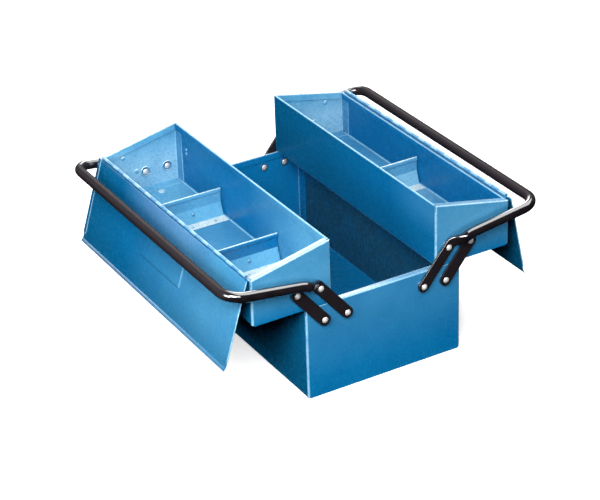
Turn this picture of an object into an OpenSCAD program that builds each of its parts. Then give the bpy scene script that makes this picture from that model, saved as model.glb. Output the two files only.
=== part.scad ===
// Cantilever tool box of sheet steel: a base, and two trays that swing out on parallel arms.
// X runs along the box, Y across it and Z up, with the origin at the middle of the base's underside.
// The model stands open, with each tray swung out over a side of the base and its lid hanging down.
// Each side is modelled on +Y, and the left side is its mirror image on -Y.

/* [Base] */
// Length of the base and of both trays
box_l = 354; // [300:1:420]
// Width of the base
base_w = 200; // [190:1:230]
// Height of the base
base_h = 113; // [100:1:150]
// Thickness of the steel sheet
sheet_t = 1; // [0.8:0.1:1.2]
// Outer radius of the bent edges
bend_r = 3; // [3:0.5:4]
// Overall thickness of a folded rim, less than the bend radius
hem_t = 2.8; // [2.4:0.1:2.9]
// Height of a folded rim
hem_h = 8; // [6:1:12]
// Width of the flanges inside the corners
flange_w = 12; // [8:1:16]

/* [Trays] */
// Height of a tray's outer wall
tray_outer_h = 55; // [48:1:60]
// Height of a tray's inner wall
tray_inner_h = 76; // [70:1:84]
// Gap between a tray and the rim under it
seat_gap = 0.5; // [0.3:0.1:0.8]
// Distance from a closed tray's inner wall to the middle of the box
split = 1.4; // [1:0.1:3]
// Distance of a closed tray's outer wall inside the base's side
tray_inset = 0.2; // [0:0.1:1]

/* [Dividers] */
// Height of a divider above the tray's underside
divider_h = 36; // [24:1:44]
// Distance from the middle to each divider of the left tray
divider_left_x = 66; // [40:1:90]
// Place of the right tray's divider along the box
divider_right_x = -6; // [-60:1:60]
// Distance that a divider's lower half leans
divider_lean = 6; // [2:1:10]
// Width of a divider's foot
divider_foot = 13; // [8:1:18]
// Gap between a divider and each wall
divider_gap = 2; // [2:0.5:4]
// Thickness of a divider's folded top edge
divider_hem_t = 2.4; // [2.2:0.1:3]
// Height of a divider's folded top edge
divider_hem_h = 5; // [4:0.5:8]

/* [Linkage] */
// Distance between the pivots of one arm
arm_r = 51.5; // [46:0.5:54]
// Lean of the arms from upright, the same open and closed
arm_lean = 39.5; // [34:0.5:42]
// Distance between a side's two base pivots
pivot_gap = 28.8; // [26:0.1:34]
// Distance from the base's side to the outer base pivot
pivot_edge = 21.6; // [18:0.1:26]
// Distance of the base pivots below the rim
pivot_drop = 17; // [16:0.5:24]
// Width of an arm
arm_w = 14; // [12:1:18]
// Thickness of an arm
arm_t = 3; // [2:0.5:4]
// Radius of a pivot rivet's shank
rivet_r = 2.4; // [2:0.1:3]
// Radius of a rivet's head
rivet_head_r = 3.6; // [3.4:0.1:5]
// Height of a rivet's head
rivet_head_h = 2.1; // [1.5:0.1:3]
// Height of a rivet's inner end
rivet_tail_h = 1.5; // [1:0.1:2.5]
// Radius of the washer between an arm and the wall
washer_r = 6.5; // [5:0.5:7.5]
// Radius of the washer under a rivet's inner end
collar_r = 4.8; // [4:0.1:6]
// Thickness of the washers
washer_t = 1; // [0.8:0.1:1.5]
// Radial clearance of a rivet in the sheet and in its washers
rivet_fit = 0.05; // [0.05:0.01:0.1]
// Radial clearance of an arm on its rivet
arm_play = 0.1; // [0.08:0.01:0.2]
// Clearance on each side of an arm, along its rivet
side_play = 0.1; // [0.1:0.05:0.3]

/* [Handles] */
// Radius of the handle tube
tube_r = 6; // [5:0.5:7]
// Distance from the tray's outer wall to the cross tube's axis
tube_out = 31.5; // [26:0.5:34]
// Distance of the cross tube's axis below the tray's outer rim
tube_drop = 6.5; // [2:0.5:10]
// Distance from the tray pivot to the handle's elbow
elbow = 8; // [6:0.5:18]
// Distance from the elbow at which the flattened end stops
flat_end = 1; // [0.5:0.5:3]
// Distance from the elbow at which the round tube starts
round_start = 16; // [14:0.5:20]
// Centreline radius of the handle's corners
corner_r = 20; // [14:1:30]
// Clearance between the round tube and the arms' outer faces
tube_gap = 0.4; // [0.3:0.1:1]

/* [Lids] */
// Thickness of the lid's sheet
lid_t = 0.9; // [0.7:0.1:1.1]
// Angle from the wall at which the left lid hangs
hang_left = 17.5; // [10:0.5:20]
// Angle from the wall at which the right lid hangs
hang_right = 11.5; // [10:0.5:20]
// Width of the lip along the lid's free edge
lip_w = 5; // [3:0.5:7]
// Width of the folded hem along the lid's ends
lid_hem_w = 6; // [4:0.5:10]
// Distance that the lid's end hems stop short of the lip
lid_hem_stop = 7; // [6:0.5:12]
// Distance that each end of the lid is set in from the tray's end
lid_inset = 0.5; // [0.2:0.1:2]
// Clearance between a closed lid's hems and the tray's rim
lid_gap = 0.25; // [0.2:0.05:0.6]

/* [Hinges] */
// Radius of the hinge pin
pin_r = 1; // [0.8:0.1:1.2]
// Radial clearance of the pin in its knuckles
pin_play = 0.08; // [0.05:0.01:0.1]
// Outer radius of a knuckle
knuckle_r = 2.2; // [2:0.1:2.6]
// Number of knuckles, an odd number
knuckles = 25; // [15:2:31]
// Gap between neighbouring knuckles
knuckle_gap = 0.3; // [0.2:0.1:0.6]
// Gap between a knuckle and the edge of the other leaf
knuckle_play = 0.3; // [0.2:0.1:0.6]
// Thickness of a hinge leaf
leaf_t = 0.8; // [0.6:0.1:1]
// Width of a hinge leaf
leaf_w = 12; // [8:1:16]
// Distance from a leaf's inner face to the pin's axis
leaf_off = 0.2; // [0.1:0.1:0.4]
// Distance from each end of the tray to the end of its hinge
hinge_inset = 7; // [5:1:20]

/* [Hidden] */
$fn = 64;
// Sides of the round pieces that a hull blends
hull_fn = 32;

// How far pieces of one solid run into each other, and how far a cut runs past what it cuts
bite = 0.5;

// Trays, with y measured across the box and z from the tray's underside
tray_w = base_w / 2 - split - tray_inset;
swing = 2 * arm_r * sin(arm_lean);
tray_in = split + swing;
tray_out = tray_in + tray_w;
tray_z = base_h + seat_gap;
gable = atan((tray_inner_h - tray_outer_h) / tray_w);

// Pivots as [y, z], in the open pose
base_pivot_out = [base_w / 2 - pivot_edge, base_h - pivot_drop];
base_pivot_in = base_pivot_out - [pivot_gap, 0];
arm_dir = [sin(arm_lean), cos(arm_lean)];
tray_pivot_out = base_pivot_out + arm_r * arm_dir;
tray_pivot_in = base_pivot_in + arm_r * arm_dir;

// Layers along X, outwards from the end panel's outer face
end_x = box_l / 2;
arm_x = end_x + washer_t + side_play;
head_x = arm_x + arm_t + side_play;
tube_x = arm_x + arm_t + tube_gap + tube_r;

// Handle, from its elbow to the cross tube, as [y, z]
elbow_at = tray_pivot_in + elbow * arm_dir;
tube_at = [tray_out + tube_out, tray_z + tray_outer_h - tube_drop];
leg = tube_at - elbow_at;
leg_l = norm(leg);
leg_slope = atan2(leg[1], leg[0]);

// Hinge axis, beside the tray's outer wall and above its rim
leaf_back = leaf_off + leaf_t;
hinge_y = tray_out + leaf_back;
hinge_up = (leaf_back + 2 * lid_t + lid_gap - leaf_back * sin(gable)) / cos(gable);
hinge_z = tray_z + tray_outer_h + hinge_up;
hinge_l = box_l - 2 * hinge_inset;
pitch = hinge_l / knuckles;
knuckle_clear = knuckle_r + knuckle_play;

// Length of a lid from its hinge axis to the bend of its lip
lid_u = (split + tray_w + leaf_back) / cos(gable);

// Extrudes a [y, z] outline along X, from x over a length l
module along_x(x, l) {
    translate([x, 0, 0]) rotate([90, 0, 90]) linear_extrude(l) children();
}

// Mirrors to the far end
module far() {
    mirror([1, 0, 0]) children();
}

// Mirrors to the left side
module left() {
    mirror([0, 1, 0]) children();
}

// Bar with round ends between two points
module bar_2d(p, q, r) {
    d = q - p;
    l = norm(d);
    translate(p) rotate(atan2(d[1], d[0])) {
        circle(r);
        translate([l, 0]) circle(r);
        translate([0, -r]) square([l, 2 * r]);
    }
}

// Folded rim, with its top at y = 0 and its outer face at x = 0; the fold lies towards +x
module hem_2d(t, h, s) {
    r = t / 2;
    difference() {
        union() {
            translate([0, -h]) square([t, h - r]);
            translate([r, -r]) circle(r);
        }
        translate([s, -h - bite]) square([t - 2 * s, h + bite - r]);
    }
}

// U of bent sheet, w wide, with its left wall a high and its right wall b high
module u_2d(w, a, b) {
    difference() {
        union() {
            translate([bend_r, 0]) square([w - 2 * bend_r, bend_r]);
            translate([bend_r, bend_r]) circle(bend_r);
            translate([w - bend_r, bend_r]) circle(bend_r);
            translate([0, bend_r]) square([w, max(a, b) - bend_r]);
        }
        in_r = bend_r - sheet_t;
        translate([bend_r, sheet_t]) square([w - 2 * bend_r, bend_r]);
        translate([bend_r, bend_r]) circle(in_r);
        translate([w - bend_r, bend_r]) circle(in_r);
        translate([sheet_t, bend_r]) square([w - 2 * sheet_t, max(a, b)]);
        translate([-bite, a]) square([w / 2 + bite, max(a, b)]);
        translate([w / 2, b]) square([w / 2 + bite, max(a, b)]);
    }
}

// Trough of a base or tray: the U with folded rims, and its floor run on under the end panels
module trough(w, a, b) {
    body_l = box_l - 2 * bend_r;
    along_x(-body_l / 2, body_l) {
        u_2d(w, a - hem_h, b - hem_h);
        translate([0, a]) hem_2d(hem_t, hem_h, sheet_t);
        translate([w, b]) mirror([1, 0]) hem_2d(hem_t, hem_h, sheet_t);
    }
    translate([-end_x, bend_r, 0]) cube([box_l, w - 2 * bend_r, sheet_t]);
}

// Plan of an end panel at the +X end: the panel, its two round corners and its inner flanges
module end_plan_2d(w) {
    translate([end_x - sheet_t, bend_r]) square([sheet_t, w - 2 * bend_r]);
    translate([0, w / 2]) for (s = [-1, 1]) scale([1, s]) translate([end_x - bend_r, w / 2 - bend_r]) {
        intersection() {
            difference() {
                circle(bend_r);
                circle(bend_r - sheet_t);
            }
            square(bend_r);
        }
        translate([-flange_w, bend_r - 2 * sheet_t]) square([flange_w + sheet_t, sheet_t]);
    }
}

// End panel at the +X end, its top edge running from height a down or up to height b;
// its side flanges start above the trough's bottom bends
module end_panel(w, a, b) {
    slope = atan2(b - a, w);
    difference() {
        union() {
            intersection() {
                translate([0, 0, sheet_t]) linear_extrude(max(a, b)) end_plan_2d(w);
                along_x(0, end_x) polygon([[0, 0], [w, 0], [w, b - hem_h], [0, a - hem_h]]);
            }
            translate([end_x - sheet_t - flange_w, bend_r, sheet_t])
                cube([flange_w + bite, w - 2 * bend_r, sheet_t]);
            intersection() {
                translate([end_x, 0, a]) rotate([90 + slope, 0, 0]) translate([0, 0, -2 * w])
                    linear_extrude(3 * w) mirror([1, 0]) hem_2d(hem_t, hem_h + bite, sheet_t);
                linear_extrude(2 * max(a, b)) {
                    translate([0, bend_r]) square([end_x, w - 2 * bend_r]);
                    square([end_x - bend_r, w]);
                    for (y = [bend_r, w - bend_r]) translate([end_x - bend_r, y]) circle(bend_r);
                }
            }
        }
        for (y = [0, w - bend_r]) translate([0, y, 0]) cube([end_x - bend_r, bend_r, bend_r]);
        children();
    }
}

// Holes through an end panel for the rivets at two pivots, given from the panel's own corner
module rivet_holes(p, q) {
    along_x(end_x - bend_r - bite, 2 * bend_r) for (c = [p, q]) translate(c) circle(rivet_r + rivet_fit);
}

// End panel of the base at the +X end, with the holes of both sides' pivots
module base_end() {
    corner = [-base_w / 2, 0];
    translate([0, -base_w / 2, 0]) end_panel(base_w, base_h, base_h)
        for (c = [base_pivot_in, base_pivot_out]) rivet_holes(c - corner, [-c[0], c[1]] - corner);
}

// End panel of a tray at the +X end
module tray_end() {
    corner = [tray_in, tray_z];
    translate([0, tray_in, tray_z]) end_panel(tray_w, tray_inner_h, tray_outer_h)
        rivet_holes(tray_pivot_in - corner, tray_pivot_out - corner);
}

// The right tray's trough
module tray_trough() {
    translate([0, tray_in, tray_z]) trough(tray_w, tray_inner_h, tray_outer_h);
}

// Divider at x, with its foot on the tray's floor towards +X
module divider(x) {
    depth = tray_w - 2 * (sheet_t + divider_gap);
    mid = divider_h / 2;
    foot_z = 1.5 * sheet_t;
    r = sheet_t / 2;
    translate([x, tray_out - sheet_t - divider_gap, tray_z]) rotate([90, 0, 0]) linear_extrude(depth) {
        bar_2d([0, divider_h - divider_hem_h], [0, mid], r);
        bar_2d([0, mid], [divider_lean, foot_z], r);
        bar_2d([divider_lean, foot_z], [divider_lean + divider_foot, foot_z], r);
        translate([-r, divider_h]) hem_2d(divider_hem_t, divider_hem_h, sheet_t);
    }
}

// Dome of radius r and height h, standing on z = 0
module dome(r, h) {
    ball = (r * r + h * h) / (2 * h);
    rotate_extrude() intersection() {
        translate([0, h - ball]) circle(ball);
        square([r, h]);
    }
}

// Rivet through an end panel and an arm at a pivot, at the +X end
module pivot_rivet(p) {
    tail_x = end_x - sheet_t - washer_t;
    translate([0, p[0], p[1]]) rotate([0, 90, 0]) {
        translate([0, 0, tail_x]) cylinder(r = rivet_r, h = head_x - tail_x);
        translate([0, 0, head_x]) dome(rivet_head_r, rivet_head_h);
        translate([0, 0, tail_x]) mirror([0, 0, 1]) dome(rivet_head_r, rivet_tail_h);
    }
}

// The washers on both faces of an end panel at a pivot
module pivot_washers(p) {
    along_x(end_x, washer_t) translate(p) difference() {
        circle(washer_r);
        circle(rivet_r + rivet_fit);
    }
    along_x(end_x - sheet_t - washer_t, washer_t) translate(p) difference() {
        circle(collar_r);
        circle(rivet_r + rivet_fit);
    }
}

// Places its children at both ends of the box
module both_ends() {
    children();
    far() children();
}

// Rivets of one side's two base pivots, at both ends of the box
module base_rivets() {
    both_ends() for (p = [base_pivot_in, base_pivot_out]) pivot_rivet(p);
}

// Rivets of one tray's two pivots, at both ends of the box
module tray_rivets() {
    both_ends() for (p = [tray_pivot_in, tray_pivot_out]) pivot_rivet(p);
}

// Washers of one side's two base pivots, at both ends of the box
module base_washers() {
    both_ends() for (p = [base_pivot_in, base_pivot_out]) pivot_washers(p);
}

// Washers of one tray's two pivots, at both ends of the box
module tray_washers() {
    both_ends() for (p = [tray_pivot_in, tray_pivot_out]) pivot_washers(p);
}

// Outer arm at the +X end, a flat bar between a base and a tray pivot
module outer_arm() {
    along_x(arm_x, arm_t) difference() {
        bar_2d(base_pivot_out, tray_pivot_out, arm_w / 2);
        for (p = [base_pivot_out, tray_pivot_out]) translate(p) circle(rivet_r + arm_play);
    }
}

// Frame of the handle's legs, with its origin at the elbow and y along the leg
module leg_frame() {
    translate([0, elbow_at[0], elbow_at[1]]) rotate([leg_slope, 0, 0]) children();
}

// U-shaped handle: each leg ends in a flattened arm that turns on a base and a tray pivot
module handle() {
    both_ends() along_x(arm_x, arm_t) difference() {
        bar_2d(base_pivot_in, elbow_at, arm_w / 2);
        for (p = [base_pivot_in, tray_pivot_in]) translate(p) circle(rivet_r + arm_play);
    }
    leg_frame() {
        both_ends() {
            hull() {
                translate([arm_x, flat_end, -arm_w / 2]) cube([arm_t, bite, arm_w]);
                translate([tube_x, round_start, 0]) rotate([-90, 0, 0])
                    cylinder(r = tube_r, h = bite, $fn = hull_fn);
            }
            translate([tube_x, round_start, 0]) rotate([-90, 0, 0])
                cylinder(r = tube_r, h = leg_l - corner_r - round_start);
            translate([tube_x - corner_r, leg_l - corner_r, 0])
                rotate_extrude(angle = 90) translate([corner_r, 0]) circle(tube_r);
        }
        translate([corner_r - tube_x, leg_l, 0]) rotate([0, 90, 0]) rotate(90)
            cylinder(r = tube_r, h = 2 * (tube_x - corner_r));
    }
}

// Hinge knuckles with even or odd places, along the hinge's axis at y = z = 0
module knuckle_row(first) {
    for (i = [first : 2 : knuckles - 1])
        along_x(-hinge_l / 2 + i * pitch + knuckle_gap / 2, pitch - knuckle_gap) children();
}

// Bore of a knuckle
module bore_2d() {
    circle(pin_r + pin_play);
}

// Hinge leaf on the tray's outer wall, with the knuckles at both ends of the row
module hinge_tray_leaf() {
    translate([0, hinge_y, hinge_z]) difference() {
        union() {
            along_x(-hinge_l / 2, hinge_l)
                translate([-leaf_back, -knuckle_clear - leaf_w]) square([leaf_t, leaf_w]);
            knuckle_row(0) {
                circle(knuckle_r);
                translate([-leaf_back, -knuckle_clear - bite]) square([leaf_t, knuckle_clear + bite]);
            }
        }
        along_x(-box_l, 2 * box_l) bore_2d();
    }
}

// Turns its children from the lid's own frame, with y along the lid from the hinge axis, to hanging
module hang(angle) {
    translate([0, hinge_y, hinge_z]) rotate([angle - 90, 0, 0]) children();
}

// Hinge leaf on the lid's inside, in the lid's own frame
module hinge_lid_leaf() {
    difference() {
        union() {
            along_x(-hinge_l / 2, hinge_l) translate([knuckle_clear, leaf_off]) square([leaf_w, leaf_t]);
            knuckle_row(1) {
                circle(knuckle_r);
                translate([0, leaf_off]) square([knuckle_clear + bite, leaf_t]);
            }
        }
        along_x(-box_l, 2 * box_l) bore_2d();
    }
}

// Pin from end to end of the hinge
module hinge_pin() {
    translate([0, hinge_y, hinge_z]) along_x(-hinge_l / 2, hinge_l) circle(pin_r);
}

// Lid in its own frame: its inside faces +z, and its lip bends to +z
module lid() {
    half_l = box_l / 2 - lid_inset - lid_t;
    along_x(-half_l, 2 * half_l) {
        translate([knuckle_clear, leaf_back]) square([lid_u - knuckle_clear, lid_t]);
        translate([lid_u, leaf_back]) rotate(2 * gable) square([lip_w, lid_t]);
    }
    hem_l = lid_u - lid_hem_stop - knuckle_clear;
    both_ends() translate([half_l, knuckle_clear, leaf_back + lid_t]) {
        rotate([-90, 0, 0]) cylinder(r = lid_t, h = hem_l);
        translate([lid_t - lid_hem_w, 0, 0]) cube([lid_hem_w - lid_t, hem_l, lid_t]);
    }
}

module base_trough() {
    color("steelblue") translate([0, -base_w / 2, 0]) trough(base_w, base_h, base_h);
}
module base_end_near() { color("steelblue") base_end(); }
module base_end_far() { color("steelblue") far() base_end(); }
module tray_trough_left() { color("steelblue") left() tray_trough(); }
module tray_end_left_near() { color("steelblue") left() tray_end(); }
module tray_end_left_far() { color("steelblue") left() far() tray_end(); }
module divider_left_near() { color("skyblue") left() divider(divider_left_x); }
module divider_left_far() { color("skyblue") left() divider(-divider_left_x); }
module tray_trough_right() { color("steelblue") tray_trough(); }
module tray_end_right_near() { color("steelblue") tray_end(); }
module tray_end_right_far() { color("steelblue") far() tray_end(); }
module divider_right() { color("skyblue") divider(divider_right_x); }
module lid_left() { color("cornflowerblue") left() hang(hang_left) lid(); }
module lid_right() { color("cornflowerblue") hang(hang_right) lid(); }
module hinge_tray_leaf_left() { color("steelblue") left() hinge_tray_leaf(); }
module hinge_lid_leaf_left() { color("steelblue") left() hang(hang_left) hinge_lid_leaf(); }
module hinge_pin_left() { color("silver") left() hinge_pin(); }
module hinge_tray_leaf_right() { color("steelblue") hinge_tray_leaf(); }
module hinge_lid_leaf_right() { color("steelblue") hang(hang_right) hinge_lid_leaf(); }
module hinge_pin_right() { color("silver") hinge_pin(); }
module handle_left() { color("black") left() handle(); }
module handle_right() { color("black") handle(); }
module outer_arm_left_near() { color("black") left() outer_arm(); }
module outer_arm_left_far() { color("black") left() far() outer_arm(); }
module outer_arm_right_near() { color("black") outer_arm(); }
module outer_arm_right_far() { color("black") far() outer_arm(); }
module base_rivets_left() { color("silver") left() base_rivets(); }
module base_rivets_right() { color("silver") base_rivets(); }
module tray_rivets_left() { color("silver") left() tray_rivets(); }
module tray_rivets_right() { color("silver") tray_rivets(); }
module base_washers_left() { color("silver") left() base_washers(); }
module base_washers_right() { color("silver") base_washers(); }
module tray_washers_left() { color("silver") left() tray_washers(); }
module tray_washers_right() { color("silver") tray_washers(); }

base_trough();
base_end_near();
base_end_far();
tray_trough_left();
tray_end_left_near();
tray_end_left_far();
divider_left_near();
divider_left_far();
tray_trough_right();
tray_end_right_near();
tray_end_right_far();
divider_right();
lid_left();
lid_right();
hinge_tray_leaf_left();
hinge_lid_leaf_left();
hinge_pin_left();
hinge_tray_leaf_right();
hinge_lid_leaf_right();
hinge_pin_right();
handle_left();
handle_right();
outer_arm_left_near();
outer_arm_left_far();
outer_arm_right_near();
outer_arm_right_far();
base_rivets_left();
base_rivets_right();
tray_rivets_left();
tray_rivets_right();
base_washers_left();
base_washers_right();
tray_washers_left();
tray_washers_right();
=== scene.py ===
"""Looks of the cantilever tool box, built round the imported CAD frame.

X runs along the box towards its near end, Y across it and Z up, with the origin under the base.
The right side is modelled on +Y, and the left side is its mirror image on -Y.
Shapes are worked out in millimetres, and add_piece turns them into metres.
"""

import math

import bmesh
import bpy
from mathutils import Matrix, Vector, noise


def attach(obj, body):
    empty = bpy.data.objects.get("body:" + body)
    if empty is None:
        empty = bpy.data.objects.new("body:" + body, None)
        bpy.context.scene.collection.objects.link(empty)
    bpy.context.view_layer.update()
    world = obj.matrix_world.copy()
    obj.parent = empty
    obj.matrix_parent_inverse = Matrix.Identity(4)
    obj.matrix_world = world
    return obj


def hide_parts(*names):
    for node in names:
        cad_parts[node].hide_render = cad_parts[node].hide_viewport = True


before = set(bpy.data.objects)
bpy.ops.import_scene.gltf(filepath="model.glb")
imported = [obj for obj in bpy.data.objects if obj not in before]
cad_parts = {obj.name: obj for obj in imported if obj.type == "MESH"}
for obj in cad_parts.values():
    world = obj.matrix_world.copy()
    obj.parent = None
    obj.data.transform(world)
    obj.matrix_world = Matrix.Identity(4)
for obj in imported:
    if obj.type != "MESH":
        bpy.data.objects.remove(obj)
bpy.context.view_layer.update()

MM = 0.001
SIDES = {"left": -1, "right": 1}

# ---------------------------------------------------------------- sizes, as the CAD has them, in mm

BOX_L = 354.0                  # length of the base and of both trays
BASE_W = 200.0                 # width of the base
BASE_H = 113.0                 # height of the base
SHEET_T = 1.0                  # thickness of the steel sheet

TRAY_OUTER_H = 55.0            # height of a tray's outer wall
TRAY_INNER_H = 76.0            # height of a tray's inner wall
SEAT_GAP = 0.5                 # gap between a tray and the rim under it
SPLIT = 1.4                    # distance from a closed tray's inner wall to the middle of the box
TRAY_INSET = 0.2               # distance of a closed tray's outer wall inside the base's side

ARM_R = 51.5                   # distance between the pivots of one arm
ARM_LEAN = math.radians(39.5)  # lean of the arms from upright
PIVOT_GAP = 28.8               # distance between a side's two base pivots
PIVOT_EDGE = 21.6              # distance from the base's side to the outer base pivot
PIVOT_DROP = 17.0              # distance of the base pivots below the rim
ARM_W = 14.0                   # width of an arm
ARM_T = 3.0                    # thickness of an arm
ARM_OFF = 1.1                  # gap between an end panel and an arm, for the washer and its play

TUBE_R = 6.0                   # radius of the handle tube
TUBE_OUT = 31.5                # distance from the tray's outer wall to the cross tube's axis
TUBE_DROP = 6.5                # distance of the cross tube's axis below the tray's outer rim
TUBE_GAP = 0.4                 # clearance between the tube and the arms' outer faces
CORNER_R = 20.0                # centreline radius of the handle's corners

LID_T = 0.9                    # thickness of the lid's sheet
LEAF_BACK = 1.0                # distance from the hinge's axis to the back of a leaf
KNUCKLE_CLEAR = 2.5            # distance from the hinge's axis to the edge of the lid
LID_GAP = 0.25                 # clearance between a closed lid's hems and the tray's rim
LID_INSET = 0.5                # distance that each end of the lid is set in from the tray's end
HEM_W = 6.0                    # width of the folded hem along the lid's ends
HEM_STOP = 7.0                 # distance that the end hems stop short of the lip
# Angle from the wall at which each lid hangs
HANG = {"left": math.radians(17.5), "right": math.radians(11.5)}

DIVIDER_H = 36.0               # height of a divider above the tray's underside
DIVIDER_LEAN = 6.0             # distance that a divider's lower half leans
DIVIDER_FOOT = 13.0            # width of a divider's foot
DIVIDER_GAP = 2.0              # gap between a divider and each wall

# What follows from them
END_X = BOX_L / 2
TRAY_W = BASE_W / 2 - SPLIT - TRAY_INSET
TRAY_IN = SPLIT + 2 * ARM_R * math.sin(ARM_LEAN)
TRAY_OUT = TRAY_IN + TRAY_W
TRAY_Z = BASE_H + SEAT_GAP
GABLE = math.atan((TRAY_INNER_H - TRAY_OUTER_H) / TRAY_W)
HINGE_Y = TRAY_OUT + LEAF_BACK
HINGE_UP = (LEAF_BACK + 2 * LID_T + LID_GAP - LEAF_BACK * math.sin(GABLE)) / math.cos(GABLE)
HINGE_Z = TRAY_Z + TRAY_OUTER_H + HINGE_UP
LID_U = (SPLIT + TRAY_W + LEAF_BACK) / math.cos(GABLE)
BASE_PIVOT = (BASE_W / 2 - PIVOT_EDGE - PIVOT_GAP, BASE_H - PIVOT_DROP)
TRAY_PIVOT = (BASE_PIVOT[0] + ARM_R * math.sin(ARM_LEAN), BASE_PIVOT[1] + ARM_R * math.cos(ARM_LEAN))
TUBE_AT = (TRAY_OUT + TUBE_OUT, TRAY_Z + TRAY_OUTER_H - TUBE_DROP)
ARM_MID_X = END_X + ARM_OFF + ARM_T / 2
TUBE_X = END_X + ARM_OFF + ARM_T + TUBE_GAP + TUBE_R


# ---------------------------------------------------------------- shape helpers

def smooth(a, b, t):
    """0 before a, 1 after b, and a smooth rise between them."""
    t = min(max((t - a) / (b - a), 0.0), 1.0)
    return t * t * (3 - 2 * t)


def between(a, b, k):
    """Value that lies k of the way from a to b."""
    return a + (b - a) * k


def spread(a, b, n):
    """n + 1 even steps from a to b."""
    return [a + (b - a) * i / n for i in range(n + 1)]


def lines(*spans):
    """Steps over several spans (a, b, n) in turn, without the repeats where they meet."""
    out = []
    for a, b, n in spans:
        out += spread(a, b, n)[1 if out else 0:]
    return out


def arc(cx, cy, r, a, b, n):
    """Points on an arc from angle a to b, in degrees."""
    return [(cx + r * math.cos(math.radians(t)), cy + r * math.sin(math.radians(t)))
            for t in spread(a, b, n)]


def fillet(points, radius, n=6):
    """A polyline with its inner corners rounded to that radius."""
    out = [Vector(points[0])]
    for before, at, after in zip(points, points[1:], points[2:]):
        before, at, after = Vector(before), Vector(at), Vector(after)
        p, q = (before - at).normalized(), (after - at).normalized()
        half = math.acos(max(-1, min(1, p.dot(q)))) / 2
        reach = min(radius / math.tan(half), 0.49 * (before - at).length, 0.49 * (after - at).length)
        centre = at + (p + q).normalized() * (reach / math.cos(half))
        start, end = at + p * reach - centre, at + q * reach - centre
        turn = math.atan2(start.x * end.y - start.y * end.x, start.dot(end))
        out += [centre + Matrix.Rotation(turn * i / n, 2) @ start for i in range(n + 1)]
    return out + [Vector(points[-1])]


def ribbon(path, t, n=6):
    """Closed outline of a sheet of thickness t that follows a path, with rounded edges."""
    path = [Vector(p) for p in path]
    normals = []
    for i in range(len(path)):
        d = (path[min(i + 1, len(path) - 1)] - path[max(i - 1, 0)]).normalized()
        normals.append(Vector((-d.y, d.x)))
    r = t / 2
    up = [p + m * r for p, m in zip(path, normals)]
    down = [p - m * r for p, m in zip(path, normals)]

    def cap(p, m):
        return [p + Matrix.Rotation(-math.pi * i / n, 2) @ m * r for i in range(1, n)]

    return up + cap(path[-1], normals[-1]) + down[::-1] + cap(path[0], -normals[0])


def walked(path, distances):
    """Points of a polyline at those distances from its start, each with the direction there."""
    out, k, done = [], 0, 0.0
    for d in distances:
        while k < len(path) - 2 and done + (path[k + 1] - path[k]).length < d:
            done += (path[k + 1] - path[k]).length
            k += 1
        way = (path[k + 1] - path[k]).normalized()
        out.append((path[k] + way * (d - done), way))
    return out


def loft(rings, caps=True):
    """Vertices and faces of a skin over rings that have the same number of points."""
    n, verts, faces = len(rings[0]), [p for ring in rings for p in ring], []
    for i in range(len(rings) - 1):
        a, b = i * n, (i + 1) * n
        faces += [(a + j, a + (j + 1) % n, b + (j + 1) % n, b + j) for j in range(n)]
    if caps:
        faces += [tuple(range(n))[::-1], tuple(range(len(verts) - n, len(verts)))]
    return verts, faces


def joined(*skins):
    """Several skins as one."""
    verts, faces = [], []
    for v, f in skins:
        faces += [tuple(i + len(verts) for i in face) for face in f]
        verts += v
    return verts, faces


def turned(profile, n=24):
    """Skin of a profile of (radius, height) points turned about Z, closed where it meets the axis."""
    rings = [[(r * math.cos(2 * math.pi * i / n), r * math.sin(2 * math.pi * i / n), z) for i in range(n)]
             for r, z in profile if r > 0]
    verts, faces = loft(rings, caps=False)
    for at, ring in ((0, 0), (-1, len(rings) - 1)):
        if profile[at][0] == 0:
            verts.append((0, 0, profile[at][1]))
            k = len(verts) - 1
            faces += [(k, ring * n + i, ring * n + (i + 1) % n) for i in range(n)]
    return verts, faces


def moved(skin, matrix):
    """The skin with the matrix applied."""
    return [tuple(matrix @ Vector(v)) for v in skin[0]], skin[1]


def mirrored(skin, s):
    """The skin itself for s = 1, or its mirror image on the other side of the box for s = -1."""
    return [(x, y * s, z) for x, y, z in skin[0]], skin[1]


def add_piece(name, skin, body, finish, replaces=(), sharp=35):
    """A mesh from a skin in mm, on a body, with its finish, in place of the CAD nodes it stands for.

    Edges sharper than that many degrees aren't shaded smooth.
    """
    mesh = bpy.data.meshes.new(name)
    mesh.from_pydata([[c * MM for c in v] for v in skin[0]], [], skin[1])
    bm = bmesh.new()
    bm.from_mesh(mesh)
    bmesh.ops.remove_doubles(bm, verts=bm.verts, dist=1e-6)
    bmesh.ops.recalc_face_normals(bm, faces=bm.faces)
    bm.to_mesh(mesh)
    bm.free()
    mesh.shade_smooth()
    mesh.set_sharp_from_angle(angle=math.radians(sharp))
    obj = bpy.data.objects.new(name, mesh)
    bpy.context.scene.collection.objects.link(obj)
    mesh.materials.append(finish)
    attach(obj, body)
    if replaces:
        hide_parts(*replaces)


# ---------------------------------------------------------------- material helpers

NOISE_LOW, NOISE_HIGH = 0.3, 0.7    # range that most of a noise's values lie in


def material(name, **values):
    """A node material and its shader, with plain values set on the shader's own sockets."""
    m = bpy.data.materials.new(name)
    m.use_nodes = True
    shader = m.node_tree.nodes["Principled BSDF"]
    for socket, value in values.items():
        shader.inputs[socket.replace("_", " ")].default_value = value
    return m, shader


def node(m, kind, inputs=None, **settings):
    """A new node of a material, with its settings and the plain values of its inputs."""
    n = m.node_tree.nodes.new("ShaderNode" + kind)
    for key, value in settings.items():
        setattr(n, key, value)
    for socket, value in (inputs or {}).items():
        n.inputs[socket].default_value = value
    return n


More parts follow.
